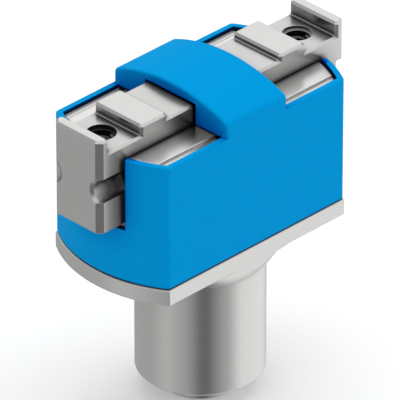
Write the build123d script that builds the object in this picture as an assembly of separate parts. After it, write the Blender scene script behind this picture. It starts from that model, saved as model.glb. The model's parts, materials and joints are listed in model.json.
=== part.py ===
from build123d import *
import math
import os

# Pneumatic parallel gripper with a clamping spigot, in millimetres.
# The origin is the centre of the port boss's lower face, +Z points to the jaws,
# and the jaws travel along X. The model is drawn open, as the spring holds it.

# Spigot, neck and flange
spigot_diameter = 20.0
spigot_length = 23.35         # from the spigot's end face to the flange
spigot_end_chamfer = 0.35
neck_ball_radius = 14.0       # the shoulder under the flange is part of a ball
neck_height = 4.0
neck_flare_radius = 2.0       # of the hollow fillet between neck and flange
flange_thickness = 2.7
flange_overhang = 0.15        # past the cap, all round
flange_edge_chamfer = 0.12

# Cap
cap_diameter = 44.0           # of the circle that its ends lie on
cap_width = 23.9              # across its two flats
cap_wall = 1.0
cap_rim_height = 20.95        # above the flange
cap_corner_radius = 0.8
cap_rim_radius = 0.2
cap_slot_radius = 0.4         # on the corners of the end slots
bridge_length = 13.5
bridge_crown_wall = 1.6       # over the jaws' tunnel, at the top of the arch
bridge_arch_radius = 29.5
bridge_shell = 1.0
bridge_edge_radius = 1.2
bridge_shoulder_radius = 2.2
cap_side_gap = 0.1            # between cap and head
cap_end_gap = 0.3
cap_top_gap = 0.15
snap_rib_height = 3.6         # above the flange
snap_rib_length = 13.0
snap_rib_section = 0.8
snap_rib_bite = 0.35          # how deep a rib sits in the head's groove
snap_gap = 0.05

# Head
head_height = 20.65           # above the flange
head_ledge_width = 1.4        # the low step along both flats
head_ledge_drop = 0.3
head_edge_chamfer = 0.2

# Jaws
jaw_width = 10.0
jaw_reach = 25.95             # from the axis to the outer face, jaws open
jaw_foot_height = 9.65        # above the flange
slide_height = 24.0           # above the flange
groove_drop = 0.8             # from the slide down to the groove's floor
block_rise = 0.93             # from the slide up to the block's top
lip_rise = 0.57               # from the block's top up to the lip's
lip_thickness = 2.05
groove_width = 6.65
block_length = 5.4
jaw_inner_end = 3.5           # from the axis, jaws open
jaw_edge_chamfer = 0.36
jaw_corner_chamfer = 0.92
jaw_step_chamfer = 0.42       # on the upright corners of block and lip
jaw_foot_chamfer = 0.2
jaw_inner_radius = 0.3        # at the foot of block and lip
jaw_slot_gap = 0.03           # running clearance at each side of the jaw
jaw_foot_gap = 0.25
jaw_roof_gap = 0.2            # under the cap's bridge
cap_slot_gap = 0.3            # beside the jaw, in the cap's ends
cap_slot_depth_gap = 0.75      # under the jaw, in the cap's ends

# Finger screw in each jaw
finger_thread_diameter = 4.0
finger_hole_depth = 8.0
finger_hole_inset = 5.35      # from the jaw's outer face
finger_counterbore_diameter = 4.6   # centres a sleeve or the screw's shoulder
finger_counterbore_depth = 0.7

# Guide rods, each partly in the head and partly in the jaws
rod_diameter = 4.0
rod_height = 17.0             # above the flange
rod_offset = 0.4              # of a rod's axis, outside the jaws' side faces
rod_seat_gap = 0.02
rod_running_gap = 0.05
rod_mouth_chamfer = 0.45
rod_end_chamfer = 0.3
channel_recess = 0.9          # depth of the rear channels' blind mouths
channel_end_wall = 2.0        # from a jaw's outer face to the rear channel's end

# Drive: the wedge rises by the stroke and draws each jaw in
piston_stroke = 5.0
jaw_stroke = 3.0
wedge_foot_height = 5.8       # above the flange, jaws open
wedge_height = 10.5
wedge_foot_half = 2.6
wedge_thickness = 4.6
rail_neck_width = 2.0
rail_head_width = 4.0
rail_neck_depth = 1.5
rail_head_depth = 1.5
rail_gap = 0.05               # running clearance all round the rail
wedge_side_gap = 0.1
wedge_top_gap = 0.5
pocket_side_gap = 0.3
pocket_end_gap = 0.6
pocket_floor_gap = 0.3

# Cylinder
bore_diameter = 12.0
bore_roof = 5.8               # web between the bore and the wedge pocket
piston_length = 6.0
piston_gap = 0.05
piston_edge_chamfer = 0.3
piston_rod_diameter = 4.0
rod_gap = 0.05
stud_diameter = 2.6
stud_length = 5.0
spigot_end_length = 3.0       # the rod's reduced end, inside the piston
spigot_end_diameter = 3.2
wedge_pin_diameter = 1.5
rail_root = 0.2               # how far a rail reaches into the wedge
bush_diameter = 7.0
bush_length = 5.0
fit_gap = 0.01                # for pieces that are pressed or seated

# Piston rings and screw
seal_section = 1.7
seal_height = 2.0
seal_above_foot = 0.9
seal_lip_depth = 1.0
seal_lip_slot = 0.55          # width of the slot between the two lips
guide_ring_section = 0.8
guide_ring_height = 1.5
guide_ring_above_foot = 3.7
guide_ring_split = 0.6
ring_groove_play = 0.1
ring_bore_gap = 0.03
screw_diameter = 2.5
screw_length = 7.0
screw_head_diameter = 4.5
screw_head_height = 1.3
screw_socket_width = 2.0
screw_head_recess = 0.2       # of the head, below the piston's foot
screw_tip_gap = 0.5

# Return spring, wound from flat wire
spring_wire_width = 1.0
spring_wire_height = 0.7
spring_diameter = 8.6         # mean
spring_turns = 4.5
spring_seat_gap = 0.02
washer_thickness = 0.4
washer_bore = 5.0

# End cap with the air port
boss_diameter = 12.0
boss_length = 3.1
boss_chamfer = 0.3
end_disc_diameter = 14.0
end_disc_thickness = 3.0
end_disc_recess = 1.7         # from the spigot's end face to the disc
end_plug_length = 2.5
end_plug_gap = 0.03
seal_ring_section = 1.0
seal_ring_groove_width = 1.3
port_drill_diameter = 4.2
port_depth = 5.5
port_passage_diameter = 2.0
port_mouth_chamfer = 0.3
snap_ring_section = 1.0
snap_ring_bite = 0.5          # how deep it sits in the spigot's wall
snap_ring_opening = 40.0      # degrees
buffer_thickness = 0.8
buffer_diameter = 10.0
buffer_bore = 5.0
buffer_gap = 0.05

# Vent of the spring side
vent_diameter = 1.6
vent_below_flange = 1.9
filter_diameter = 3.2
filter_thickness = 1.2
filter_recess = 0.35

# Heights of the main planes above the origin
spigot_end = boss_length
flange_bottom = spigot_end + spigot_length
flange_top = flange_bottom + flange_thickness
head_top = flange_top + head_height
rim_top = flange_top + cap_rim_height
rod_axis = flange_top + rod_height
jaw_foot = flange_top + jaw_foot_height
slide_top = flange_top + slide_height
tunnel_roof = slide_top + jaw_roof_gap
crown_top = tunnel_roof + bridge_crown_wall
groove_floor = slide_top - groove_drop
block_top = slide_top + block_rise
lip_top = block_top + lip_rise
slot_floor = jaw_foot - jaw_foot_gap
wedge_foot = flange_top + wedge_foot_height
wedge_top = wedge_foot + wedge_height
pocket_floor = wedge_foot - pocket_floor_gap
bore_top = pocket_floor - bore_roof
disc_bottom = spigot_end + end_disc_recess
disc_top = disc_bottom + end_disc_thickness
plug_top = disc_top + end_plug_length
buffer_top = plug_top + buffer_thickness
piston_foot = buffer_top + buffer_gap
piston_top = piston_foot + piston_length
washer_bottom = bore_top - washer_thickness

# Radii and half widths
spigot_radius = spigot_diameter / 2
cap_radius = cap_diameter / 2
cap_half = cap_width / 2
flange_half = cap_half + flange_overhang
ball_rise = math.sqrt(neck_ball_radius ** 2 - spigot_radius ** 2) - neck_height
inner_radius = cap_radius - cap_wall
inner_half = cap_half - cap_wall
head_radius = inner_radius - cap_end_gap
head_half = inner_half - cap_side_gap
jaw_half = jaw_width / 2
slot_half = jaw_half + jaw_slot_gap
rod_radius = rod_diameter / 2
rod_y = jaw_half + rod_offset
bore_radius = bore_diameter / 2
bridge_half = bridge_length / 2
drive_slope = jaw_stroke / piston_stroke
slope_length = math.hypot(1.0, drive_slope)

# Places along a jaw, from the axis
groove_end = jaw_reach - lip_thickness
block_start = groove_end - groove_width
block_end = block_start - block_length

tolerance = 0.01              # for finding an edge by its place


def block(x0, x1, y0, y1, z0, z1):
    size = Box(x1 - x0, y1 - y0, z1 - z0, align=(Align.MIN, Align.MIN, Align.MIN))
    return Pos(x0, y0, z0) * size


def post(radius, z0, z1):
    size = Cylinder(radius, z1 - z0, align=(Align.CENTER, Align.CENTER, Align.MIN))
    return Pos(0, 0, z0) * size


def flatted_disc(radius, half_width, z0, z1):
    outline = Circle(radius) & Rectangle(2 * radius, 2 * half_width)
    return Pos(0, 0, z0) * extrude(outline, z1 - z0)


def bar_along_x(radius, x0, x1, y, z):
    bar = Cylinder(radius, x1 - x0, align=(Align.CENTER, Align.CENTER, Align.MIN))
    return Pos(x0, y, z) * Rot(0, 90, 0) * bar


def bar_along_y(radius, y0, y1, x, z):
    bar = Cylinder(radius, y1 - y0, align=(Align.CENTER, Align.CENTER, Align.MIN))
    return Pos(x, y0, z) * Rot(-90, 0, 0) * bar


def side_profile(points, half_width):
    """Extrude an outline drawn in X and Z to both sides of the XZ plane."""
    outline = make_face(Polyline([(x, 0, z) for x, z in points], close=True))
    return extrude(outline, half_width, dir=(0, 1, 0), both=True)


def ring(inner, outer, z0, z1):
    return post(outer, z0, z1) - post(inner, z0 - 1, z1 + 1)


def edges_along(shape, axis, test):
    return [edge for edge in shape.edges().filter_by(axis) if test(edge.center())]


def wedge_face(z):
    """Half width of the drive wedge at a height, jaws open."""
    return wedge_foot_half + drive_slope * (z - wedge_foot)


def slanted_slab(z0, z1, start, end, half_width):
    """A slab that lies along the wedge's slanted face, between two depths from it."""
    near = start * slope_length
    far = end * slope_length
    points = [
        (wedge_face(z0) + near, z0),
        (wedge_face(z0) + far, z0),
        (wedge_face(z1) + far, z1),
        (wedge_face(z1) + near, z1),
    ]
    return side_profile(points, half_width)


# Housing: spigot, neck, flange and head are turned and milled from one bar

def spigot_and_neck():
    spigot = post(spigot_radius, spigot_end, flange_bottom)
    spigot = chamfer(spigot.edges().sort_by(Axis.Z)[0], spigot_end_chamfer)
    neck = Pos(0, 0, flange_bottom + ball_rise) * Sphere(neck_ball_radius)
    neck &= post(cap_radius, flange_bottom - neck_height, flange_bottom + flange_edge_chamfer)
    neck += neck_flare()
    return spigot + (neck & flatted_disc(cap_radius, flange_half, spigot_end, flange_top))


def ball_radius_at(depth):
    """Radius of the neck's ball at a depth below the flange."""
    return math.sqrt(neck_ball_radius ** 2 - (ball_rise + depth) ** 2)


def neck_flare():
    """The hollow fillet that leads from the ball to the flange's lower face."""
    inner = ball_radius_at(neck_flare_radius)
    outer = inner + neck_flare_radius
    below = flange_bottom - neck_flare_radius
    flare = post(outer, below, flange_bottom) - Pos(0, 0, below) * Torus(outer, neck_flare_radius)
    return flare + post(outer, flange_bottom, flange_bottom + flange_edge_chamfer)


def head_with_ledges():
    head = flatted_disc(head_radius, head_half, flange_top, head_top)
    head = chamfer(head.faces().sort_by(Axis.Z)[-1].edges(), head_edge_chamfer)
    crease = head_half - head_ledge_width
    for side in (-1, 1):
        ledge = block(-head_radius, head_radius, crease, cap_radius, head_top - head_ledge_drop, crown_top)
        head -= ledge if side > 0 else mirror(ledge, Plane.XZ)
    return head


def snap_ribs(extra):
    """The two ribs inside the cap's long walls, grown by a gap for their grooves."""
    length = snap_rib_length / 2 + extra
    height = snap_rib_section / 2 + extra
    middle = flange_top + snap_rib_height
    depth = head_half - snap_rib_bite - extra
    rib = block(-length, length, depth, inner_half, middle - height, middle + height)
    return rib + mirror(rib, Plane.XZ)


def bore_and_pocket():
    bore = post(bore_radius, disc_top - 1, bore_top)
    mouth = post(end_disc_diameter / 2, spigot_end - 1, disc_top)
    ring_groove = post(end_disc_diameter / 2 + snap_ring_bite + fit_gap,
                       disc_bottom - snap_ring_section - fit_gap, disc_bottom)
    bush_hole = post(bush_diameter / 2 + fit_gap, bore_top - 1, bore_top + bush_length)
    rod_hole = post(piston_rod_diameter / 2 + pocket_side_gap, bore_top, pocket_floor + 1)
    pocket_x = wedge_face(slot_floor) + (rail_neck_depth + rail_head_depth) * slope_length + pocket_end_gap
    pocket_y = wedge_thickness / 2 + pocket_side_gap
    pocket = block(-pocket_x, pocket_x, -pocket_y, pocket_y, pocket_floor, slot_floor + 1)
    return bore + mouth + ring_groove + bush_hole + rod_hole + pocket


def vent_passage():
    height = flange_bottom - vent_below_flange
    outside = neck_ball_radius + 1
    passage = bar_along_y(vent_diameter / 2, bore_radius - 1, outside, 0, height)
    seat = bar_along_y(filter_diameter / 2 + fit_gap, vent_seat(), outside, 0, height)
    return passage + seat


def vent_seat():
    """Distance from the axis to the step that the vent's filter sits on."""
    lowest = vent_below_flange + filter_diameter / 2
    return ball_radius_at(lowest) - filter_recess - filter_thickness


def flange_plate():
    flange = flatted_disc(cap_radius + flange_overhang, flange_half, flange_bottom, flange_top)
    rims = [face.outer_wire().edges() for face in flange.faces().filter_by(Axis.Z)]
    return chamfer([edge for rim in rims for edge in rim], flange_edge_chamfer)


def make_housing():
    body = spigot_and_neck() + flange_plate() + head_with_ledges()
    body -= block(-cap_radius, cap_radius, -slot_half, slot_half, slot_floor, crown_top)
    for side in (-1, 1):
        body -= bar_along_x(rod_radius + rod_seat_gap, -cap_radius, cap_radius, side * rod_y, rod_axis)
    body -= bore_and_pocket()
    body -= vent_passage()
    body -= snap_ribs(snap_gap)
    return body


# Cap: a thin moulded shell with an arched bridge over the jaws

def arched_bar(half_length, half_width, shell):
    """A bar along X under the bridge's arch, thinned by a wall on its top."""
    arch = bar_along_x(bridge_arch_radius - shell, -half_length, half_length, 0,
                       crown_top - bridge_arch_radius)
    return arch & block(-half_length, half_length, -half_width, half_width, flange_top, crown_top)


def jaw_tunnel():
    half = jaw_half + cap_slot_gap
    return block(-cap_radius, cap_radius, -half, half, jaw_foot - cap_slot_depth_gap, tunnel_roof)


def rounded_shell():
    wall = flatted_disc(cap_radius, cap_half, flange_top, rim_top) - jaw_tunnel()
    inner = jaw_half + cap_slot_gap + tolerance
    wall = fillet(edges_along(wall, Axis.Z, lambda c: abs(c.Y) > inner), cap_corner_radius)
    wall = fillet(edges_along(wall, Axis.Z, lambda c: abs(c.Y) < inner), cap_slot_radius)
    tops = [face for face in wall.faces().filter_by(Axis.Z) if face.center().Z > rim_top - tolerance]
    return fillet([edge for top in tops for edge in top.edges()], cap_rim_radius)


def rounded_bridge():
    """The bridge is rounded over its shoulders first, then round its two end faces."""
    bridge = arched_bar(bridge_half, cap_half, 0)
    shoulders = edges_along(bridge, Axis.X, lambda c: c.Z > flange_top + tolerance)
    bridge = fillet(shoulders, bridge_shoulder_radius)
    ends = [face for face in bridge.faces().filter_by(Axis.X)]
    rims = [edge for end in ends for edge in end.edges() if edge.center().Z > flange_top + tolerance]
    return fillet(rims, bridge_edge_radius)


def bridge_cores():
    """Pockets that keep the bridge's two feet as thin as the other walls."""
    inner = jaw_half + cap_slot_gap + bridge_shell
    core = arched_bar(bridge_half - bridge_shell, inner_half, bridge_shell)
    side = block(-cap_radius, cap_radius, inner, inner_half, head_top, crown_top)
    core = core & side
    return core + mirror(core, Plane.XZ)


def make_cover_cap():
    cap = rounded_shell() + rounded_bridge()
    roof = head_top + cap_top_gap
    cap -= flatted_disc(inner_radius, inner_half, flange_top - 1, roof)
    open_top = flatted_disc(inner_radius, inner_half, roof - 1, crown_top)
    cap -= open_top - block(-bridge_half, bridge_half, -cap_half, cap_half, flange_top, crown_top + 1)
    cap -= jaw_tunnel()
    cap -= bridge_cores()
    return cap + snap_ribs(0)


# Jaws

def jaw_profile():
    return [
        (jaw_inner_end, jaw_foot),
        (jaw_reach, jaw_foot),
        (jaw_reach, lip_top),
        (groove_end, lip_top),
        (groove_end, groove_floor),
        (block_start, groove_floor),
        (block_start, block_top),
        (block_end, block_top),
        (block_end, slide_top),
        (jaw_inner_end, slide_top),
    ]


def broken_edges(jaw):
    """Chamfer the upright corners, then every edge round the upper faces and the foot."""
    outer = edges_along(jaw, Axis.Z, lambda c: c.X > jaw_reach - tolerance)
    jaw = chamfer(outer, jaw_corner_chamfer)
    uprights = edges_along(jaw, Axis.Z, lambda c: block_end - tolerance < c.X < groove_end + tolerance)
    jaw = chamfer(uprights, jaw_step_chamfer)
    edges = []
    for face in jaw.faces().filter_by(Axis.Z):
        height = face.center().Z
        edges += [edge for edge in face.edges() if height > head_top and not at_step(edge, height)]
    jaw = chamfer(edges, jaw_edge_chamfer)
    foot = jaw.faces().sort_by(Axis.Z)[0]
    return chamfer([edge for edge in foot.edges() if edge.center().X > jaw_inner_end + tolerance], jaw_foot_chamfer)


def at_step(edge, height):
    """True for an edge at the foot of the block or the lip, which stays sharp."""
    middle = edge.center()
    inner = abs(middle.Y) < jaw_half - tolerance
    if abs(height - groove_floor) < tolerance:
        return inner
    return abs(height - slide_top) < tolerance and inner and middle.X > jaw_inner_end + tolerance


def inner_corners():
    """The radius that the cutter leaves at the foot of the block and the lip."""
    corners = []
    for x, z, side in ((groove_end, groove_floor, -1), (block_start, groove_floor, 1), (block_end, slide_top, -1)):
        reach = x + side * jaw_inner_radius
        bead = side_profile([(x, z), (reach, z), (reach, z + jaw_inner_radius), (x, z + jaw_inner_radius)],
                            jaw_half - jaw_edge_chamfer)
        bead -= bar_along_y(jaw_inner_radius, -jaw_half, jaw_half, reach, z + jaw_inner_radius)
        corners.append(bead)
    return corners


def channel_mouth(side):
    radius = rod_radius + rod_running_gap
    mouth = Cone(radius + rod_mouth_chamfer, radius, rod_mouth_chamfer,
                 align=(Align.CENTER, Align.CENTER, Align.MIN))
    return Pos(jaw_reach, side * rod_y, rod_axis) * Rot(0, -90, 0) * mouth


def rod_channels():
    """The front channel runs out through the outer face, and the rear one ends short of it."""
    radius = rod_radius + rod_running_gap
    start = jaw_inner_end - 1
    return [
        bar_along_x(radius, start, jaw_reach + 1, -rod_y, rod_axis),
        bar_along_x(radius, start, jaw_reach - channel_end_wall, rod_y, rod_axis),
        bar_along_x(radius, jaw_reach - channel_recess, jaw_reach + 1, rod_y, rod_axis),
        channel_mouth(-1),
        channel_mouth(1),
    ]


def wedge_way():
    """The slanted pocket and T slot that the drive wedge runs in."""
    below = jaw_foot - 1
    roof = wedge_top + piston_stroke + wedge_top_gap
    half = wedge_thickness / 2 + wedge_side_gap
    gap = rail_gap * slope_length
    pocket = side_profile([
        (0, below),
        (wedge_face(below) + gap, below),
        (wedge_face(roof) + gap, roof),
        (0, roof),
    ], half)
    neck = slanted_slab(below, roof, 0, rail_neck_depth, rail_neck_width / 2 + rail_gap)
    head = slanted_slab(below, roof, rail_neck_depth - rail_gap,
                        rail_neck_depth + rail_head_depth + rail_gap, rail_head_width / 2 + rail_gap)
    return pocket + neck + head


def finger_hole():
    x = jaw_reach - finger_hole_inset
    radius = finger_thread_diameter / 2
    hole = post(radius, groove_floor - finger_hole_depth, groove_floor + 1)
    hole += post(finger_counterbore_diameter / 2, groove_floor - finger_counterbore_depth, groove_floor + 1)
    return Pos(x, 0, 0) * hole


def make_right_jaw():
    jaw = broken_edges(side_profile(jaw_profile(), jaw_half))
    for corner in inner_corners():
        jaw += corner
    for channel in rod_channels():
        jaw -= channel
    jaw -= wedge_way()
    jaw -= finger_hole()
    return jaw


def make_left_jaw():
    return mirror(make_right_jaw(), Plane.YZ)


def make_guide_rod(side):
    half_length = math.sqrt(head_radius ** 2 - (rod_y + rod_radius) ** 2)
    rod = bar_along_x(rod_radius, -half_length, half_length, side * rod_y, rod_axis)
    return chamfer(rod.edges().filter_by(GeomType.CIRCLE), rod_end_chamfer)


# Drive wedge, piston rod and piston

def make_drive_wedge():
    half = wedge_thickness / 2
    body = side_profile([
        (-wedge_face(wedge_foot), wedge_foot),
        (wedge_face(wedge_foot), wedge_foot),
        (wedge_face(wedge_top), wedge_top),
        (-wedge_face(wedge_top), wedge_top),
    ], half)
    neck = slanted_slab(wedge_foot, wedge_top, -rail_root, rail_neck_depth, rail_neck_width / 2)
    head = slanted_slab(wedge_foot, wedge_top, rail_neck_depth,
                        rail_neck_depth + rail_head_depth, rail_head_width / 2)
    rail = neck + head
    wedge = body + rail + mirror(rail, Plane.YZ)
    wedge -= post(stud_diameter / 2 + fit_gap, wedge_foot - 1, wedge_foot + stud_length)
    wedge -= bar_along_y(wedge_pin_diameter / 2 + fit_gap, -half - 1, half + 1, 0, pin_height())
    return wedge


def pin_height():
    return wedge_foot + stud_length / 2


def make_wedge_pin():
    half = wedge_thickness / 2
    return bar_along_y(wedge_pin_diameter / 2, -half, half, 0, pin_height())


def make_piston_rod():
    rod = post(piston_rod_diameter / 2, piston_top, wedge_foot)
    rod += post(stud_diameter / 2, wedge_foot - 1, wedge_foot + stud_length)
    rod += post(spigot_end_diameter / 2, piston_top - spigot_end_length, piston_top + 1)
    rod -= post(screw_diameter / 2 + fit_gap, piston_top - spigot_end_length - 1, screw_tip() + screw_tip_gap)
    rod -= bar_along_y(wedge_pin_diameter / 2 + fit_gap, -stud_diameter, stud_diameter, 0, pin_height())
    return rod


def screw_seat():
    return piston_foot + screw_head_height + screw_head_recess


def screw_tip():
    return screw_seat() + screw_length


def make_piston():
    piston = post(bore_radius - piston_gap, piston_foot, piston_top)
    piston = chamfer(piston.edges().filter_by(GeomType.CIRCLE), piston_edge_chamfer)
    seal_inner = bore_radius - ring_bore_gap - seal_section - fit_gap
    seal_bottom = piston_foot + seal_above_foot
    piston -= ring(seal_inner, bore_radius, seal_bottom, seal_bottom + seal_height + ring_groove_play)
    guide_inner = bore_radius - ring_bore_gap - guide_ring_section - fit_gap
    guide_bottom = piston_foot + guide_ring_above_foot
    piston -= ring(guide_inner, bore_radius, guide_bottom, guide_bottom + guide_ring_height + ring_groove_play)
    piston -= post(spigot_end_diameter / 2 + fit_gap, piston_top - spigot_end_length, piston_top + 1)
    piston -= post(screw_diameter / 2 + fit_gap, piston_foot - 1, piston_top)
    piston -= post(screw_head_diameter / 2 + fit_gap, piston_foot - 1, screw_seat())
    return piston


def make_piston_seal():
    """Lip seal with its groove open to the pressure side below."""
    outer = bore_radius - ring_bore_gap
    inner = outer - seal_section
    bottom = piston_foot + seal_above_foot + ring_groove_play / 2
    seal = ring(inner, outer, bottom, bottom + seal_height)
    middle = (inner + outer) / 2
    slot = seal_lip_slot / 2
    return seal - ring(middle - slot, middle + slot, bottom - 1, bottom + seal_lip_depth)


def make_piston_guide_ring():
    outer = bore_radius - ring_bore_gap
    bottom = piston_foot + guide_ring_above_foot + ring_groove_play / 2
    guide = ring(outer - guide_ring_section, outer, bottom, bottom + guide_ring_height)
    split = guide_ring_split / 2
    return guide - block(0, bore_diameter, -split, split, bottom - 1, bottom + guide_ring_height + 1)


def make_piston_screw():
    seat = screw_seat()
    screw = post(screw_diameter / 2, seat, screw_tip())
    screw += post(screw_head_diameter / 2, seat - screw_head_height, seat)
    socket = extrude(RegularPolygon(screw_socket_width / math.sqrt(3), 6), screw_head_height / 2)
    return screw - Pos(0, 0, seat - screw_head_height) * socket


# Spring side of the cylinder

def make_return_spring():
    half = spring_wire_height / 2
    start = piston_top + half + spring_seat_gap
    height = washer_bottom - half - spring_seat_gap - start
    path = Pos(0, 0, start) * Helix(height / spring_turns, height, spring_diameter / 2)
    wire = Rectangle(spring_wire_width, spring_wire_height)
    section = Plane(origin=path @ 0, x_dir=(1, 0, 0), z_dir=path % 0) * wire
    return sweep(section, path, is_frenet=True)


def make_spring_washer():
    return ring(washer_bore / 2, bore_radius - piston_gap, washer_bottom, bore_top)


def make_rod_bush():
    return ring(piston_rod_diameter / 2 + rod_gap, bush_diameter / 2, bore_top, bore_top + bush_length)


def make_vent_filter():
    height = flange_bottom - vent_below_flange
    return bar_along_y(filter_diameter / 2, vent_seat(), vent_seat() + filter_thickness, 0, height)


# End cap with the air port

def seal_ring_middle():
    return disc_top + end_plug_length / 2


def make_end_cap():
    boss = post(boss_diameter / 2, 0, disc_bottom + 1)
    boss = chamfer(boss.edges().sort_by(Axis.Z)[0], boss_chamfer)
    disc = post(end_disc_diameter / 2 - fit_gap, disc_bottom, disc_top)
    plug = post(bore_radius - end_plug_gap, disc_top - 1, plug_top)
    cap = boss + disc + plug
    half = seal_ring_groove_width / 2
    groove_inner = bore_radius - seal_ring_section - fit_gap
    cap -= ring(groove_inner, bore_radius, seal_ring_middle() - half, seal_ring_middle() + half)
    drill = port_drill_diameter / 2
    cap -= post(drill, -1, port_depth)
    cap -= Cone(drill + port_mouth_chamfer, drill, port_mouth_chamfer,
                align=(Align.CENTER, Align.CENTER, Align.MIN))
    cap -= post(port_passage_diameter / 2, 0, plug_top + 1)
    return cap


def make_end_cap_seal():
    minor = seal_ring_section / 2 - fit_gap
    major = bore_radius - seal_ring_section / 2
    return Pos(0, 0, seal_ring_middle()) * Torus(major, minor)


def make_retaining_ring():
    outer = end_disc_diameter / 2 + snap_ring_bite
    bottom = disc_bottom - snap_ring_section
    snap = ring(outer - snap_ring_section, outer, bottom, disc_bottom)
    reach = outer + 1
    spread = reach * math.tan(math.radians(snap_ring_opening / 2))
    gap = make_face(Polyline((0, 0), (reach, -spread), (reach, spread), close=True))
    return snap - Pos(0, 0, bottom - 1) * extrude(gap, snap_ring_section + 2)


def make_buffer_pad():
    return ring(buffer_bore / 2, buffer_diameter / 2, plug_top, buffer_top)


parts = {
    "housing": make_housing(),
    "cover_cap": make_cover_cap(),
    "right_jaw": make_right_jaw(),
    "left_jaw": make_left_jaw(),
    "front_guide_rod": make_guide_rod(-1),
    "rear_guide_rod": make_guide_rod(1),
    "drive_wedge": make_drive_wedge(),
    "wedge_pin": make_wedge_pin(),
    "piston_rod": make_piston_rod(),
    "piston": make_piston(),
    "piston_seal": make_piston_seal(),
    "piston_guide_ring": make_piston_guide_ring(),
    "piston_screw": make_piston_screw(),
    "return_spring": make_return_spring(),
    "spring_washer": make_spring_washer(),
    "rod_bush": make_rod_bush(),
    "vent_filter": make_vent_filter(),
    "end_cap": make_end_cap(),
    "end_cap_seal": make_end_cap_seal(),
    "retaining_ring": make_retaining_ring(),
    "buffer_pad": make_buffer_pad(),
}

os.makedirs("parts", exist_ok=True)
for name, shape in parts.items():
    export_step(shape, f"parts/{name}.step")
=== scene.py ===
import json
import math

import bpy
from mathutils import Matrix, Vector


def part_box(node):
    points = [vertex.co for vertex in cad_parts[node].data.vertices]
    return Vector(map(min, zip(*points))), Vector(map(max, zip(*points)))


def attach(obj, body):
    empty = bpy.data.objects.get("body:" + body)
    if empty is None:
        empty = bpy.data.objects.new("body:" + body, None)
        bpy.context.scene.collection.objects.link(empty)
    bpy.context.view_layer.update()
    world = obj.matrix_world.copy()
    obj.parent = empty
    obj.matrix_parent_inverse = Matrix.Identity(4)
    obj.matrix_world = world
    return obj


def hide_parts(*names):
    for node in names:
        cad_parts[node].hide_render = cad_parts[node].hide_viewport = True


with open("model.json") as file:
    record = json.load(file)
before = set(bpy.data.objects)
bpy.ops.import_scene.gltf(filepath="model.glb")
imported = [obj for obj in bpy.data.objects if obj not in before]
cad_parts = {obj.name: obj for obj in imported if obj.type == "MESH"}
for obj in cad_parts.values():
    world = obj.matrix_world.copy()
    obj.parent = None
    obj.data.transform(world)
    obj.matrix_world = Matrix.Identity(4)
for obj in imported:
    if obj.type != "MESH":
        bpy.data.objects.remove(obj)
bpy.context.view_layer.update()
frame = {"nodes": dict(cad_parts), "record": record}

mm = 0.001
smoothAngle = math.radians(30)
scene = bpy.context.scene
nodes = frame["nodes"]


# Camera, at the photograph's angle

viewpoint = {
    "azimuth": -45.0,
    "elevation": 31.32,
    "distance": 1235.9 * mm,  # from the point it looks at
    "height": 31.8 * mm,      # of that point on the spigot's axis
    "aside": -0.05 * mm,
    "lens": 741.2,
    "sensor": 36.0,
    "clipStart": 0.01,
    "clipEnd": 20,
}


def addCamera(v):
    azimuth = math.radians(v["azimuth"])
    elevation = math.radians(v["elevation"])
    right = Vector((math.cos(azimuth), math.sin(azimuth), 0))
    back = Vector((math.sin(azimuth) * math.cos(elevation),
                   -math.cos(azimuth) * math.cos(elevation),
                   math.sin(elevation)))
    data = bpy.data.cameras.new("photoCamera")
    data.lens = v["lens"]
    data.sensor_width = v["sensor"]
    data.clip_start = v["clipStart"]
    data.clip_end = v["clipEnd"]
    camera = bpy.data.objects.new("photoCamera", data)
    scene.collection.objects.link(camera)
    camera.location = Vector((0, 0, v["height"])) + right * v["aside"] + back * v["distance"]
    camera.rotation_euler = back.to_track_quat("Z", "Y").to_euler()
    scene.camera = camera


addCamera(viewpoint)
scene.view_settings.view_transform = "Standard"
print("camera set")


# Small helpers for shader nodes

def newMaterial(name):
    material = bpy.data.materials.new(name)
    material.use_nodes = True
    tree = material.node_tree
    tree.nodes.clear()
    output = tree.nodes.new("ShaderNodeOutputMaterial")
    shader = tree.nodes.new("ShaderNodeBsdfPrincipled")
    tree.links.new(shader.outputs[0], output.inputs["Surface"])
    return material, tree, shader


def addNode(tree, kind, **values):
    node = tree.nodes.new(kind)
    for key, value in values.items():
        setattr(node, key, value)
    return node


def setInputs(node, values):
    for key, value in values.items():
        node.inputs[key].default_value = value


def place(tree, scale):  # Object coordinates, stretched by a Mapping node
    coordinates = addNode(tree, "ShaderNodeTexCoord")
    mapping = addNode(tree, "ShaderNodeMapping")
    mapping.inputs["Scale"].default_value = scale
    tree.links.new(coordinates.outputs["Object"], mapping.inputs["Vector"])
    return mapping.outputs[0]


def ramp(tree, source, low, high, bottom=0.0, top=1.0):
    node = addNode(tree, "ShaderNodeMapRange")
    setInputs(node, {"From Min": low, "From Max": high, "To Min": bottom, "To Max": top})
    tree.links.new(source, node.inputs["Value"])
    return node.outputs[0]


def newGroup(name, inputs, outputs):
    group = bpy.data.node_groups.new(name, "ShaderNodeTree")
    for direction, sockets in (("INPUT", inputs), ("OUTPUT", outputs)):
        for title, kind in sockets.items():
            group.interface.new_socket(name=title, in_out=direction, socket_type="NodeSocket" + kind)
    return group, addNode(group, "NodeGroupInput"), addNode(group, "NodeGroupOutput")


# Shared effects

grainDetail = {
    "fine": {"Scale": 1.0, "Detail": 5.0, "Roughness": 0.65},
    "broad": {"Scale": 0.13, "Detail": 3.0, "Roughness": 0.5},
}


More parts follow.
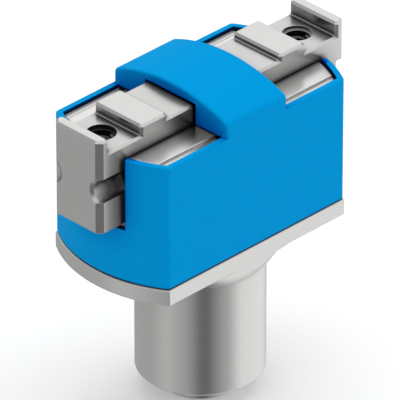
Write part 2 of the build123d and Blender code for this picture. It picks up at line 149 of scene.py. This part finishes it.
def makeGrainGroup(g):  # fine streaks or specks on a surface, as colour, roughness and height
    group, start, end = newGroup(
        "surfaceGrain",
        {"Vector": "Vector", "Color": "Color", "Contrast": "Float", "Roughness": "Float",
         "Roughness Change": "Float"},
        {"Color": "Color", "Roughness": "Float", "Height": "Float"})
    fine = addNode(group, "ShaderNodeTexNoise")
    setInputs(fine, g["fine"])
    broad = addNode(group, "ShaderNodeTexNoise")
    setInputs(broad, g["broad"])
    group.links.new(start.outputs["Vector"], fine.inputs["Vector"])
    group.links.new(start.outputs["Vector"], broad.inputs["Vector"])
    both = addNode(group, "ShaderNodeMath", operation="MULTIPLY_ADD")
    both.inputs[1].default_value = 0.5
    half = addNode(group, "ShaderNodeMath", operation="MULTIPLY")
    half.inputs[1].default_value = 0.5
    group.links.new(broad.outputs["Fac"], half.inputs[0])
    group.links.new(fine.outputs["Fac"], both.inputs[0])
    group.links.new(half.outputs[0], both.inputs[2])
    centred = addNode(group, "ShaderNodeMath", operation="SUBTRACT")
    centred.inputs[1].default_value = 0.5
    group.links.new(both.outputs[0], centred.inputs[0])
    tone = addNode(group, "ShaderNodeMath", operation="MULTIPLY_ADD")
    tone.inputs[2].default_value = 1.0
    group.links.new(centred.outputs[0], tone.inputs[0])
    group.links.new(start.outputs["Contrast"], tone.inputs[1])
    colour = addNode(group, "ShaderNodeVectorMath", operation="SCALE")
    group.links.new(start.outputs["Color"], colour.inputs[0])
    group.links.new(tone.outputs[0], colour.inputs["Scale"])
    group.links.new(colour.outputs[0], end.inputs["Color"])
    rough = addNode(group, "ShaderNodeMath", operation="MULTIPLY_ADD", use_clamp=True)
    group.links.new(centred.outputs[0], rough.inputs[0])
    group.links.new(start.outputs["Roughness Change"], rough.inputs[1])
    group.links.new(start.outputs["Roughness"], rough.inputs[2])
    group.links.new(rough.outputs[0], end.inputs["Roughness"])
    group.links.new(fine.outputs["Fac"], end.inputs["Height"])
    return group


# Worn edges, and the painted shade that darkens colour in inner corners and joints
wearAndShadeDetail = {
    "cornerSamples": 10,
    "cornerFull": 0.5,       # how much open sky is left where a corner is at its darkest
    "edgeSamples": 6,
    "edgeFull": 0.75,        # how far the rounded normal agrees with the face where wear is full
}


def paintedCornerShade(group, depth, shade, w):  # painted shade: 1 in the open, less towards an inner corner
    near = addNode(group, "ShaderNodeAmbientOcclusion", samples=w["cornerSamples"], only_local=False)
    group.links.new(depth, near.inputs["Distance"])
    closed = ramp(group, near.outputs["AO"], 1.0, w["cornerFull"])
    part = addNode(group, "ShaderNodeMath", operation="MULTIPLY")
    group.links.new(closed, part.inputs[0])
    group.links.new(shade, part.inputs[1])
    tone = addNode(group, "ShaderNodeMath", operation="SUBTRACT", use_clamp=True)
    tone.inputs[0].default_value = 1.0
    group.links.new(part.outputs[0], tone.inputs[1])
    return tone.outputs[0]


def makeWearAndShadeGroup(w):  # rounded and worn edges, and painted shade darkening inner corners and joints, from the shape itself
    group, start, end = newGroup(
        "edgeWearAndPaintedShade",
        {"Color": "Color", "Worn Color": "Color", "Amount": "Float", "Radius": "Float",
         "Corner Depth": "Float", "Corner Shade": "Float", "Joint Depth": "Float",
         "Joint Shade": "Float", "Shade Color": "Color"},
        {"Color": "Color", "Normal": "Vector"})
    bevel = addNode(group, "ShaderNodeBevel", samples=w["edgeSamples"])
    group.links.new(start.outputs["Radius"], bevel.inputs["Radius"])
    geometry = addNode(group, "ShaderNodeNewGeometry")
    edge = addNode(group, "ShaderNodeVectorMath", operation="DOT_PRODUCT")
    group.links.new(bevel.outputs[0], edge.inputs[0])
    group.links.new(geometry.outputs["Normal"], edge.inputs[1])
    turned = ramp(group, edge.outputs["Value"], 1.0, w["edgeFull"])
    amount = addNode(group, "ShaderNodeMath", operation="MULTIPLY")
    group.links.new(turned, amount.inputs[0])
    group.links.new(start.outputs["Amount"], amount.inputs[1])
    worn = addNode(group, "ShaderNodeMix", data_type="RGBA")
    group.links.new(amount.outputs[0], worn.inputs["Factor"])
    group.links.new(start.outputs["Color"], worn.inputs[6])
    group.links.new(start.outputs["Worn Color"], worn.inputs[7])
    corner = paintedCornerShade(group, start.outputs["Corner Depth"], start.outputs["Corner Shade"], w)
    joint = paintedCornerShade(group, start.outputs["Joint Depth"], start.outputs["Joint Shade"], w)
    tone = addNode(group, "ShaderNodeMath", operation="MULTIPLY")
    group.links.new(corner, tone.inputs[0])
    group.links.new(joint, tone.inputs[1])
    tint = addNode(group, "ShaderNodeMix", data_type="RGBA")
    tint.inputs[7].default_value = (1, 1, 1, 1)
    group.links.new(tone.outputs[0], tint.inputs["Factor"])
    group.links.new(start.outputs["Shade Color"], tint.inputs[6])
    shaded = addNode(group, "ShaderNodeVectorMath", operation="MULTIPLY")
    group.links.new(worn.outputs[2], shaded.inputs[0])
    group.links.new(tint.outputs[2], shaded.inputs[1])
    group.links.new(shaded.outputs[0], end.inputs["Color"])
    group.links.new(bevel.outputs[0], end.inputs["Normal"])
    return group


grainGroup = makeGrainGroup(grainDetail)
wearAndShadeGroup = makeWearAndShadeGroup(wearAndShadeDetail)
print("shared effects made")


def finish(name, look):
    material, tree, shader = newMaterial(name)
    setInputs(shader, {"Metallic": look["metallic"]})
    setInputs(shader, look.get("shader", {}))
    grain = addNode(tree, "ShaderNodeGroup", node_tree=grainGroup)
    tree.links.new(place(tree, look["grain"]), grain.inputs["Vector"])
    setInputs(grain, {"Color": look["color"] + (1,), "Contrast": look["contrast"],
                      "Roughness": look["roughness"], "Roughness Change": look["roughChange"]})
    # This group node gives worn edges and painted shade in inner corners and joints, tinted by Shade
    # Color
    wear = addNode(tree, "ShaderNodeGroup", node_tree=wearAndShadeGroup)
    setInputs(wear, {"Worn Color": look["worn"] + (1,), "Amount": look["wear"],
                     "Radius": look["edge"], "Corner Depth": look["cornerDepth"],
                     "Corner Shade": look["cornerShade"], "Joint Depth": look["jointDepth"],
                     "Joint Shade": look["jointShade"], "Shade Color": look["shadeColor"] + (1,)})
    tree.links.new(grain.outputs["Color"], wear.inputs["Color"])
    if "mirrored" in look:  # painted reflection: metal beside it mirrors this tone instead of the plastic's colour, plus a painted emission
        path = addNode(tree, "ShaderNodeLightPath")
        mix = addNode(tree, "ShaderNodeMix", data_type="RGBA")
        mix.inputs[7].default_value = look["mirrored"] + (1,)
        tree.links.new(path.outputs["Is Glossy Ray"], mix.inputs["Factor"])
        tree.links.new(wear.outputs["Color"], mix.inputs[6])
        tree.links.new(mix.outputs[2], shader.inputs["Base Color"])
        glow = addNode(tree, "ShaderNodeMath", operation="MULTIPLY")
        glow.inputs[1].default_value = look["glow"]
        tree.links.new(path.outputs["Is Glossy Ray"], glow.inputs[0])
        tree.links.new(glow.outputs[0], shader.inputs["Emission Strength"])
    else:
        tree.links.new(wear.outputs["Color"], shader.inputs["Base Color"])
    tree.links.new(grain.outputs["Roughness"], shader.inputs["Roughness"])
    bump = addNode(tree, "ShaderNodeBump")
    setInputs(bump, {"Strength": look["bump"], "Distance": look["bumpDepth"]})
    tree.links.new(grain.outputs["Height"], bump.inputs["Height"])
    tree.links.new(wear.outputs["Normal"], bump.inputs["Normal"])
    tree.links.new(bump.outputs[0], shader.inputs["Normal"])
    return material


def metal(color, roughness, grain, **changes):
    look = dict(metallic=1.0, color=color, contrast=0.12, grain=grain,
                roughness=roughness, roughChange=0.12, bump=0.15, bumpDepth=0.01 * mm,
                worn=(0.86, 0.86, 0.85), wear=0.15, edge=0.25 * mm, shadeColor=(0, 0, 0),
                cornerDepth=1.0 * mm, cornerShade=0.2, jointDepth=0.4 * mm, jointShade=0.3)
    look.update(changes)
    return look


def plastic(color, roughness, grain, **changes):
    look = dict(metallic=0.0, color=color, contrast=0.06, grain=grain,
                roughness=roughness, roughChange=0.08, bump=0.2, bumpDepth=0.02 * mm,
                worn=color, wear=0.0, edge=0.12 * mm, shadeColor=(0, 0, 0),
                cornerDepth=1.0 * mm, cornerShade=0.2, jointDepth=0.4 * mm, jointShade=0.3)
    look.update(changes)
    return look


matte = {"Specular IOR Level": 0.012}
looks = {
    "anodised_aluminium": metal((0.71, 0.71, 0.7), 0.26, (400, 400, 12000), contrast=0.05,
                                roughChange=0.05, edge=0.4 * mm, cornerDepth=3.0 * mm, cornerShade=0.1,
                                jointDepth=0.8 * mm, jointShade=0.55),
    # mirrored sets a painted reflection tone that metal sees on this plastic; shadeColor turns its
    # painted corner shade a deeper blue
    "blue_plastic": plastic((0.0, 0.37, 0.84), 0.5, (5200, 5200, 5200), shader=matte,
                            mirrored=(0.38, 0.38, 0.38), glow=0.0, cornerDepth=6.0 * mm,
                            cornerShade=0.6, jointDepth=0.8 * mm, jointShade=0.8,
                            shadeColor=(0, 0.16, 0.75)),
    # A darker copy of blue_plastic: painted shade for the cap's inside faces and slot floors, with a
    # painted emission seen in reflections
    "blue_plastic_painted_shade": plastic((0.0, 0.16, 0.5), 0.6, (5200, 5200, 5200), shader=matte,
                                   mirrored=(0.6, 0.6, 0.6), glow=0.2, cornerDepth=3.0 * mm,
                                   cornerShade=0.7, jointDepth=0.8 * mm, jointShade=0.8,
                                   shadeColor=(0, 0.0, 0.1)),
    "jaw_steel": metal((0.64, 0.64, 0.63), 0.26, (1200, 12000, 12000), contrast=0.07, roughChange=0.06,
                       edge=0.1 * mm, cornerDepth=4.5 * mm, cornerShade=0.7, jointDepth=1.0 * mm,
                       jointShade=0.95),
    # A lighter copy of jaw_steel with weaker painted corner shade: painted light on the right
    # counterbore's wall
    "counterbore_steel": metal((0.64, 0.64, 0.63), 0.26, (4000, 4000, 4000), cornerDepth=3.0 * mm,
                               cornerShade=0.3),
    # thread_steel: darker than the jaw's steel it is cut in, painted shade for the thread deep in its
    # hole, with strong painted corner shade
    "thread_steel": metal((0.2, 0.2, 0.2), 0.4, (4000, 4000, 4000), wear=0.0, cornerDepth=2.0 * mm,
                          cornerShade=0.8),
    "ground_steel": metal((0.62, 0.62, 0.63), 0.16, (300, 9000, 9000)),
    "hardened_steel": metal((0.36, 0.36, 0.37), 0.3, (4000, 4000, 4000)),
    "piston_aluminium": metal((0.62, 0.62, 0.6), 0.3, (1500, 1500, 9000)),
    "seal_rubber": plastic((0.012, 0.012, 0.012), 0.55, (3000, 3000, 3000)),
    "ring_plastic": plastic((0.72, 0.68, 0.6), 0.5, (3000, 3000, 3000)),
    "screw_steel": metal((0.12, 0.12, 0.13), 0.35, (3000, 3000, 3000)),
    "spring_steel": metal((0.4, 0.4, 0.41), 0.25, (6000, 6000, 1500)),
    "bronze": metal((0.45, 0.28, 0.13), 0.5, (7000, 7000, 7000), bump=0.5, contrast=0.5),
    "buffer_rubber": plastic((0.33, 0.08, 0.012), 0.45, (2500, 2500, 2500)),
}
finishes = {name: finish(name, look) for name, look in looks.items()}
slots = {part["node"]: part["material_slot"] for part in frame["record"]["subparts"]}
for name, node in nodes.items():
    node.data.materials.clear()
    node.data.materials.append(finishes[slots[name]])
print("finishes on", len(nodes), "nodes")


def selectOnly(piece):
    bpy.ops.object.select_all(action="DESELECT")
    piece.select_set(True)
    bpy.context.view_layer.objects.active = piece


# Cap: its own mesh, with a crisper bridge, a shadow line at its foot and painted shade on its inside
# faces

capDetail = {
    "bridgeHalfMade": 6.75 * mm,     # "Made" is the value that the part's mesh has
    "bridgeHalf": 6.3 * mm,
    "endRadiusMade": 1.2 * mm,       # round the bridge's two end faces
    "endRadius": 0.45 * mm,
    "archRadius": 29.5 * mm,
    "shoulderRadiusMade": 2.2 * mm,  # where the arch comes down to the cap's sides
    "shoulderRadius": 1.0 * mm,
    "wall": 1.0 * mm,
    "slotHalf": 5.3 * mm,            # of the end slots that the jaws run in
    "footChamfer": 0.3 * mm,
    "merge": 0.002 * mm,             # joins the faces along their shared edges
    "slack": 0.02 * mm,              # a point this near to a face lies on it
    "upright": 0.5,                  # a wall's normal rises less than this
    "sideways": 0.7,                 # a slot side's normal turns across more than this
    "outward": 0.1,                  # the least that a foot point's normal leans out
}


def bridgeDepth(point, c, half, top, r):  # distance in from the arch's outline, and the way out
    side = 1 if point.y >= 0 else -1
    reach = abs(point.y)
    archFoot = top - c["archRadius"]
    shoulder = archFoot + math.sqrt((c["archRadius"] - r) ** 2 - (half - r) ** 2)
    if point.z <= shoulder:
        return half - reach, Vector((0, side, 0))
    if reach * (shoulder - archFoot) > (half - r) * (point.z - archFoot):
        away = Vector((0, side * (reach - (half - r)), point.z - shoulder))
        return r - away.length, away.normalized()
    away = Vector((0, point.y, point.z - archFoot))
    return c["archRadius"] - away.length, away.normalized()


def sharpenEnds(mesh, c, high):
    made = c["endRadiusMade"]
    share = c["endRadius"] / made
    for vertex in mesh.vertices:
        point = vertex.co
        ahead = c["bridgeHalfMade"] - abs(point.x)
        if not -c["slack"] < ahead < made + c["slack"]:
            continue
        depth, outward = bridgeDepth(point, c, high.y, high.z, c["shoulderRadiusMade"])
        rounded = abs(Vector((made - ahead, made - depth)).length - made) < c["slack"]
        onEnd = ahead < 2 * c["slack"] and depth > c["slack"]
        if onEnd or (rounded and depth < made + c["slack"]):
            inside = abs(point.y) < high.y - c["wall"] + c["slack"] and onEnd
            vertex.co.x = math.copysign(c["bridgeHalf"] - ahead * share, point.x)
            if not inside:
                vertex.co += outward * depth * (1 - share)


def sharpenShoulders(mesh, c, high):
    for vertex in mesh.vertices:
        if abs(vertex.co.x) > c["bridgeHalfMade"] + c["slack"]:
            continue
        depth, outward = bridgeDepth(vertex.co, c, high.y, high.z, c["shoulderRadiusMade"])
        sharper, outward = bridgeDepth(vertex.co, c, high.y, high.z, c["shoulderRadius"])
        if depth < c["endRadius"] + c["slack"]:
            vertex.co += outward * (sharper - depth)


def chamferFoot(mesh, c, low):
    for vertex in mesh.vertices:
        point = vertex.co
        out = Vector((vertex.normal.x, vertex.normal.y, 0))
        if abs(point.z - low.z) < c["slack"] and out.length > c["outward"] and out.dot(point) > 0:
            vertex.co -= out.normalized() * c["footChamfer"]


# Painted shade: the inside faces and the slot faces get the darker copy of the plastic
def paintShadeInside(mesh, c, high):
    for face in mesh.polygons:
        middle, normal = face.center, face.normal
        across = abs(middle.y) > high.y - 2 * c["wall"] and normal.y * middle.y < 0
        endwise = middle.xy.length > high.x - 2 * c["wall"] and normal.dot(middle) < 0
        inward = (across or endwise) and abs(normal.z) < c["upright"]
        facesIn = normal.z > c["upright"] or normal.y * math.copysign(1, middle.y) < -c["sideways"]
        inSlot = abs(middle.y) < c["slotHalf"] + c["slack"] and facesIn
        if (inward or inSlot) and abs(middle.x) > c["bridgeHalfMade"]:
            face.material_index = 1


def addCap(c):
    low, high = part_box("cover_cap")
    cap = bpy.data.objects.new("moulded_cap", nodes["cover_cap"].data.copy())
    scene.collection.objects.link(cap)
    selectOnly(cap)
    bpy.ops.object.mode_set(mode="EDIT")
    bpy.ops.mesh.select_all(action="SELECT")
    bpy.ops.mesh.remove_doubles(threshold=c["merge"])
    bpy.ops.mesh.bisect(plane_co=(0, 0, low.z + c["footChamfer"]), plane_no=(0, 0, 1))
    bpy.ops.object.mode_set(mode="OBJECT")
    sharpenEnds(cap.data, c, high)
    sharpenShoulders(cap.data, c, high)
    chamferFoot(cap.data, c, low)
    cap.data.update()
    cap.data.materials.clear()
    cap.data.materials.append(finishes["blue_plastic"])
    cap.data.materials.append(finishes["blue_plastic_painted_shade"])
    paintShadeInside(cap.data, c, high)
    bpy.ops.object.shade_smooth_by_angle(angle=smoothAngle)
    cap.modifiers.new("evenNormals", "WEIGHTED_NORMAL").keep_sharp = True
    bpy.ops.object.modifier_apply(modifier="evenNormals")
    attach(cap, "housing")
    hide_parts("cover_cap")
    print("cap dressed")


addCap(capDetail)


# Finger holes: the M4 thread inside each jaw's hole, and the right one's counterbore painted lighter,
# with less painted shade

threadDetail = {
    "counterboreRadius": 2.35 * mm,
    "pitch": 0.7 * mm,
    "ridge": 0.4 * mm,     # how far it stands into the hole
    "width": 0.56 * mm,
    "sunk": 0.05 * mm,     # into the wall
    "margin": 0.3 * mm,    # left free at each end
    "steps": 28,
}


def addThread(name, body, mount, t):
    hole = Vector(mount["pos_m"])
    radius = mount["dims"]["r_mm"] * mm
    length = mount["dims"]["length_mm"] * mm
    turns = int((length - 2 * t["margin"] - t["width"]) / t["pitch"])
    bpy.ops.object.select_all(action="DESELECT")
    start = hole.z + length / 2 - t["margin"] - t["width"] / 2 - turns * t["pitch"]
    bpy.ops.mesh.primitive_circle_add(vertices=3, radius=t["ridge"], location=(hole.x, hole.y, start))
    thread = bpy.context.object
    thread.name = name
    root = radius + t["sunk"]
    profile = ((root, -t["width"] / 2), (radius - t["ridge"], 0), (root, t["width"] / 2))
    for vertex, (reach, height) in zip(thread.data.vertices, profile):
        vertex.co = (reach, 0, height)
    screw = thread.modifiers.new("turns", "SCREW")
    screw.screw_offset = t["pitch"]
    screw.iterations = turns
    screw.steps = screw.render_steps = t["steps"]
    bpy.ops.object.modifier_apply(modifier="turns")
    bpy.ops.object.mode_set(mode="EDIT")
    bpy.ops.mesh.select_all(action="SELECT")
    bpy.ops.mesh.fill_holes(sides=4)
    bpy.ops.mesh.select_all(action="SELECT")
    bpy.ops.mesh.normals_make_consistent(inside=False)
    bpy.ops.object.mode_set(mode="OBJECT")
    bpy.ops.object.transform_apply(location=True, rotation=False, scale=False)
    bpy.ops.object.shade_smooth_by_angle(angle=smoothAngle)
    thread.data.materials.append(finishes["thread_steel"])
    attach(thread, body)


# Painted light: the right counterbore's faces get the copy of the jaw steel with less painted shade
def brightenCounterbore(jaw, mount, t):
    hole = Vector(mount["pos_m"])
    floor = hole.z + mount["dims"]["length_mm"] / 2 * mm
    jaw.data.materials.append(finishes["counterbore_steel"])
    for face in jaw.data.polygons:
        away = (face.center - hole).xy.length
        if away < t["counterboreRadius"] and face.center.z > floor - t["sunk"]:
            face.material_index = 1


mounts = {mount["name"]: mount for mount in frame["record"]["mounts"]}
brightenCounterbore(nodes["right_jaw"], mounts["right_finger_thread"], threadDetail)
for side in ("right", "left"):
    addThread(side + "_finger_thread", side + "_jaw", mounts[side + "_finger_thread"], threadDetail)
print("finger threads cut")


# Rear channels: a stop just under each jaw's outer face, where the photo shows hardly any recess

stopDetail = {
    "axisY": 5.4 * mm,        # of the rear guide rod, which the channel follows
    "axisZ": 46.15 * mm,
    "jawChamfer": 0.92 * mm,  # on the jaw's upright outer corners
    "radius": 2.2 * mm,
    "below": 0.3 * mm,        # the outer face
    "length": 0.7 * mm,
    "inset": 0.03 * mm,       # from the jaw's side face and corner chamfer
    "sides": 64,
    "bevel": 0.05 * mm,
    "bevelSteps": 2,
}


def addStop(name, body, side, s):
    low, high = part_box(body)
    outerFace = max(-low.x, high.x)
    middle = outerFace - s["below"] - s["length"] / 2
    bpy.ops.object.select_all(action="DESELECT")
    bpy.ops.mesh.primitive_cylinder_add(vertices=s["sides"], radius=s["radius"], depth=s["length"],
                                        location=(side * middle, s["axisY"], s["axisZ"]),
                                        rotation=(0, math.radians(90), 0))
    stop = bpy.context.object
    stop.name = name
    bpy.ops.object.transform_apply(location=True, rotation=True, scale=False)
    bpy.ops.object.mode_set(mode="EDIT")
    flank = (0, high.y - s["inset"], 0)
    corner = (side * (outerFace - s["jawChamfer"]), high.y - math.sqrt(2) * s["inset"], 0)
    for point, outward in ((flank, (0, 1, 0)), (corner, (side, 1, 0))):
        bpy.ops.mesh.select_all(action="SELECT")
        bpy.ops.mesh.bisect(plane_co=point, plane_no=outward, use_fill=True, clear_outer=True)
    bpy.ops.object.mode_set(mode="OBJECT")
    bevel = stop.modifiers.new("edges", "BEVEL")
    bevel.width = s["bevel"]
    bevel.segments = s["bevelSteps"]
    bevel.limit_method = "ANGLE"
    bpy.ops.object.modifier_apply(modifier="edges")
    bpy.ops.object.shade_smooth_by_angle(angle=smoothAngle)
    stop.data.materials.append(finishes["jaw_steel"])
    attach(stop, body)


for side, sign in (("right", 1), ("left", -1)):
    addStop(side + "_channel_stop", side + "_jaw", sign, stopDetail)
print("rear channels stopped")


# Floor, world and lamps

studio = {
    "floorSize": 6.0,
    "floorColor": (0.96, 0.96, 0.96, 1),
    "floorLift": 0.22,        # what the camera alone sees on top of the floor's own light
    "sky": 0.5,
    "ceilingFrom": 0.02,      # height of a direction where the walls give way to the ceiling
    "ceilingTo": 0.42,
    "ceiling": 1.16,
}

walls = [                     # what bright metal mirrors, by degrees to the right of the camera
    (-180, 0.42),
    (-135, 0.45),
    (-90, 0.47),
    (-62, 0.6),
    (-30, 0.46),
    (8, 0.14),
    (45, 0.46),
    (78, 0.95),
    (135, 1.0),
    (158, 0.7),
    (180, 0.42),
]

ceilings = [                  # the same above the walls, as a share of the ceiling's level
    (-180, 1.0),
    (-135, 0.92),
    (-94, 0.4),
    (-50, 0.6),
    (0, 0.8),
    (94, 0.8),
    (140, 0.98),
    (180, 1.0),
]

lamps = {
    "overhead": {"place": (0.25, 0.15, 1.3), "size": 1.3, "power": 8.0},
    "rightSide": {"place": (0.9, -0.7, 0.5), "size": 0.8, "power": 2.0},
}
lampTarget = Vector((0, 0, 30 * mm))


def addFloor(s):
    bpy.ops.object.select_all(action="DESELECT")
    bpy.ops.mesh.primitive_plane_add(size=s["floorSize"], location=(0, 0, 0))
    floor = bpy.context.object
    floor.name = "studioFloor"
    material, tree, shader = newMaterial("studioFloor")
    setInputs(shader, {"Base Color": s["floorColor"], "Roughness": 0.9, "Specular IOR Level": 0.0,
                       "Emission Color": (1, 1, 1, 1)})
    path = addNode(tree, "ShaderNodeLightPath")
    lift = ramp(tree, path.outputs["Is Camera Ray"], 0.0, 1.0, 0.0, s["floorLift"])
    tree.links.new(lift, shader.inputs["Emission Strength"])
    floor.data.materials.append(material)
    floor.visible_glossy = False


def levelsAround(tree, turn, levels):  # a tone for each direction around the object
    tones = addNode(tree, "ShaderNodeValToRGB")
    tones.color_ramp.interpolation = "EASE"
    stops = tones.color_ramp.elements
    while len(stops) < len(levels):
        stops.new(0.5)
    for stop, (degrees, level) in zip(stops, levels):
        stop.position = (degrees + 180) / 360
        stop.color = (level, level, level, 1)
    tree.links.new(turn, tones.inputs[0])
    return tones.outputs[0]


def wallBrightness(tree, s, v):
    azimuth = math.radians(v["azimuth"])
    direction = addNode(tree, "ShaderNodeTexCoord").outputs["Generated"]
    parts = []
    for axis in ((math.cos(azimuth), math.sin(azimuth), 0), (math.sin(azimuth), -math.cos(azimuth), 0)):
        dot = addNode(tree, "ShaderNodeVectorMath", operation="DOT_PRODUCT")
        dot.inputs[1].default_value = axis
        tree.links.new(direction, dot.inputs[0])
        parts.append(dot.outputs["Value"])
    angle = addNode(tree, "ShaderNodeMath", operation="ARCTAN2")
    tree.links.new(parts[0], angle.inputs[0])
    tree.links.new(parts[1], angle.inputs[1])
    turn = ramp(tree, angle.outputs[0], -math.pi, math.pi)
    above = addNode(tree, "ShaderNodeVectorMath", operation="SCALE")
    above.inputs["Scale"].default_value = s["ceiling"]
    tree.links.new(levelsAround(tree, turn, ceilings), above.inputs[0])
    height = addNode(tree, "ShaderNodeSeparateXYZ")
    tree.links.new(direction, height.inputs[0])
    upward = ramp(tree, height.outputs["Z"], s["ceilingFrom"], s["ceilingTo"])
    mix = addNode(tree, "ShaderNodeMix", data_type="RGBA")
    tree.links.new(upward, mix.inputs["Factor"])
    tree.links.new(levelsAround(tree, turn, walls), mix.inputs[6])
    tree.links.new(above.outputs[0], mix.inputs[7])
    return mix.outputs[2]


def addWorld(s):
    world = bpy.data.worlds.new("studioWorld")
    scene.world = world
    world.use_nodes = True
    tree = world.node_tree
    tree.nodes.clear()
    output = addNode(tree, "ShaderNodeOutputWorld")
    lit = addNode(tree, "ShaderNodeBackground")
    setInputs(lit, {"Color": (1, 1, 1, 1), "Strength": s["sky"]})
    seen = addNode(tree, "ShaderNodeBackground")
    setInputs(seen, {"Color": (1, 1, 1, 1), "Strength": 1.0})
    mirrored = addNode(tree, "ShaderNodeBackground")
    tree.links.new(wallBrightness(tree, s, viewpoint), mirrored.inputs["Color"])
    path = addNode(tree, "ShaderNodeLightPath")
    first = addNode(tree, "ShaderNodeMixShader")
    tree.links.new(path.outputs["Is Glossy Ray"], first.inputs[0])
    tree.links.new(lit.outputs[0], first.inputs[1])
    tree.links.new(mirrored.outputs[0], first.inputs[2])
    second = addNode(tree, "ShaderNodeMixShader")
    tree.links.new(path.outputs["Is Camera Ray"], second.inputs[0])
    tree.links.new(first.outputs[0], second.inputs[1])
    tree.links.new(seen.outputs[0], second.inputs[2])
    tree.links.new(second.outputs[0], output.inputs[0])


def addLamp(name, detail):
    data = bpy.data.lights.new(name, "AREA")
    data.size = detail["size"]
    data.energy = detail["power"]
    lamp = bpy.data.objects.new(name, data)
    scene.collection.objects.link(lamp)
    lamp.location = detail["place"]
    lamp.visible_glossy = False
    towards = lampTarget - lamp.location
    lamp.rotation_euler = towards.to_track_quat("-Z", "Y").to_euler()


addFloor(studio)
addWorld(studio)
for name, detail in lamps.items():
    addLamp(name, detail)
print("studio set")
